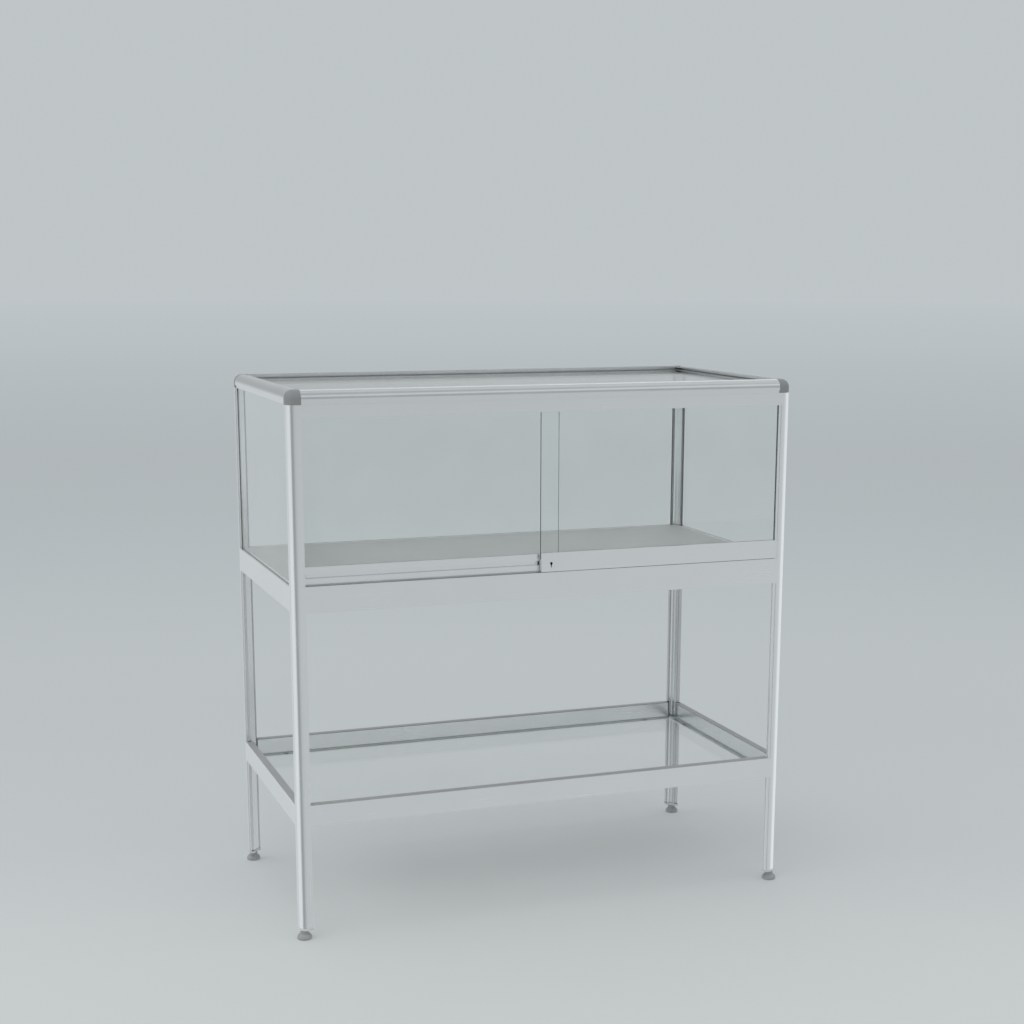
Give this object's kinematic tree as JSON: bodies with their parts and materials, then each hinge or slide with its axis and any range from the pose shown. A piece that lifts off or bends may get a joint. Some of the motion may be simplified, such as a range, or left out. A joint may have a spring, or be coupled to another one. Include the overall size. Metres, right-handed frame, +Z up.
{
  "type": "vitrine table",
  "caption": "Glazed display table with sliding lockable glass doors, a closed deck, an open lower frame with a clear shelf, and levelling feet.",
  "frame": {"origin": "on the floor, under the middle of the table", "axes": "+X to the right seen from the front, +Y to the rear, +Z up; the doors face -Y"},
  "size_m": [1.007, 0.507, 1.026],
  "materials": {
    "anodised_aluminium": "satin silver anodised extrusion",
    "clear_glass": "polished clear float glass",
    "black_rubber": "matt black glazing rubber",
    "dark_grey_plastic": "fine matt moulding",
    "grey_laminate": "matt grey laminate on board",
    "dark_grey_foot": "dark grey coated steel",
    "light_grey_plastic": "matt moulding",
    "clear_plastic": "clear soft pad",
    "roller_plastic": "smooth turned nylon",
    "bright_steel": "bright drawn steel",
    "lock_black": "black lock barrel"
  },
  "bodies": {
    "frame": {"front_left_post": "anodised_aluminium", "front_left_cap": "dark_grey_plastic", "front_right_post": "anodised_aluminium", "front_right_cap": "dark_grey_plastic", "rear_left_post": "anodised_aluminium", "rear_left_cap": "dark_grey_plastic", "rear_right_post": "anodised_aluminium", "rear_right_cap": "dark_grey_plastic", "upper_front_rail": "anodised_aluminium", "lower_front_rail": "anodised_aluminium", "upper_rear_rail": "anodised_aluminium", "lower_rear_rail": "anodised_aluminium", "upper_left_rail": "anodised_aluminium", "lower_left_rail": "anodised_aluminium", "upper_right_rail": "anodised_aluminium", "lower_right_rail": "anodised_aluminium", "deck_rear_rail": "anodised_aluminium", "rear_glass": "clear_glass", "rear_glass_gasket": "black_rubber", "deck_left_rail": "anodised_aluminium", "left_glass": "clear_glass", "left_glass_gasket": "black_rubber", "deck_right_rail": "anodised_aluminium", "right_glass": "clear_glass", "right_glass_gasket": "black_rubber", "front_track": "anodised_aluminium", "fascia_track": "anodised_aluminium", "post_end_plugs": "light_grey_plastic", "deck_panel": "grey_laminate", "door_glide_strips": "light_grey_plastic", "top_glass": "clear_glass", "top_glass_gasket": "black_rubber", "left_door_buffer": "black_rubber", "right_door_buffer": "black_rubber", "deck_rail_connectors": "bright_steel", "lower_rail_connectors": "bright_steel", "lower_rail_covers": "dark_grey_plastic", "shelf_glass": "clear_glass", "shelf_pads": "clear_plastic"},
    "right_door": {"right_door_glass": "clear_glass", "right_door_rail": "anodised_aluminium", "right_roller_axles": "bright_steel", "lock_case": "bright_steel"},
    "left_door": {"left_door_glass": "clear_glass", "left_door_rail": "anodised_aluminium", "left_roller_axles": "bright_steel", "lock_striker": "bright_steel"},
    "lock_drum": {"lock_drum": "lock_black"},
    "lock_bolt": {"lock_bolt": "bright_steel"},
    "left_inner_roller": {"left_inner_roller": "roller_plastic"},
    "left_outer_roller": {"left_outer_roller": "roller_plastic"},
    "right_inner_roller": {"right_inner_roller": "roller_plastic"},
    "right_outer_roller": {"right_outer_roller": "roller_plastic"},
    "front_left_foot": {"front_left_foot": "dark_grey_foot"},
    "front_right_foot": {"front_right_foot": "dark_grey_foot"},
    "rear_left_foot": {"rear_left_foot": "dark_grey_foot"},
    "rear_right_foot": {"rear_right_foot": "dark_grey_foot"}
  },
  "joints": [
    {"name": "right_door_slide", "type": "slide", "parent": "frame", "child": "right_door", "axis": [1, 0, 0], "range_m": [-0.4532, 0]},
    {"name": "left_door_slide", "type": "slide", "parent": "frame", "child": "left_door", "axis": [1, 0, 0], "range_m": [0, 0.4532]},
    {"name": "right_inner_roller_spin", "type": "hinge", "parent": "right_door", "child": "right_inner_roller", "pos_m": [0.043, -0.24475, 0.6755], "axis": [0, 1, 0], "continuous": true},
    {"name": "right_outer_roller_spin", "type": "hinge", "parent": "right_door", "child": "right_outer_roller", "pos_m": [0.4302, -0.24475, 0.6755], "axis": [0, 1, 0], "continuous": true},
    {"name": "left_inner_roller_spin", "type": "hinge", "parent": "left_door", "child": "left_inner_roller", "pos_m": [-0.043, -0.23325, 0.6725], "axis": [0, 1, 0], "continuous": true},
    {"name": "left_outer_roller_spin", "type": "hinge", "parent": "left_door", "child": "left_outer_roller", "pos_m": [-0.4302, -0.23325, 0.6725], "axis": [0, 1, 0], "continuous": true},
    {"name": "lock_drum_turn", "type": "hinge", "parent": "right_door", "child": "lock_drum", "pos_m": [0, -0.24475, 0.6905], "axis": [0, 1, 0], "range_deg": [0, 90]},
    {"name": "lock_bolt_slide", "type": "slide", "parent": "right_door", "child": "lock_bolt", "axis": [0, 1, 0], "range_m": [0, 0.0045]},
    {"name": "front_left_foot_screw", "type": "slide", "parent": "frame", "child": "front_left_foot", "axis": [0, 0, -1], "range_m": [0, 0.012]},
    {"name": "front_right_foot_screw", "type": "slide", "parent": "frame", "child": "front_right_foot", "axis": [0, 0, -1], "range_m": [0, 0.012]},
    {"name": "rear_left_foot_screw", "type": "slide", "parent": "frame", "child": "rear_left_foot", "axis": [0, 0, -1], "range_m": [0, 0.012]},
    {"name": "rear_right_foot_screw", "type": "slide", "parent": "frame", "child": "rear_right_foot", "axis": [0, 0, -1], "range_m": [0, 0.012]}
  ],
  "couplings": [
    {"joint": "right_inner_roller_spin", "follows": "right_door_slide", "rad_per_m": 142.86},
    {"joint": "right_outer_roller_spin", "follows": "right_door_slide", "rad_per_m": 142.86},
    {"joint": "left_inner_roller_spin", "follows": "left_door_slide", "rad_per_m": 142.86},
    {"joint": "left_outer_roller_spin", "follows": "left_door_slide", "rad_per_m": 142.86},
    {"joint": "lock_drum_turn", "follows": "lock_bolt_slide", "rad_per_m": 349.06}
  ]
}
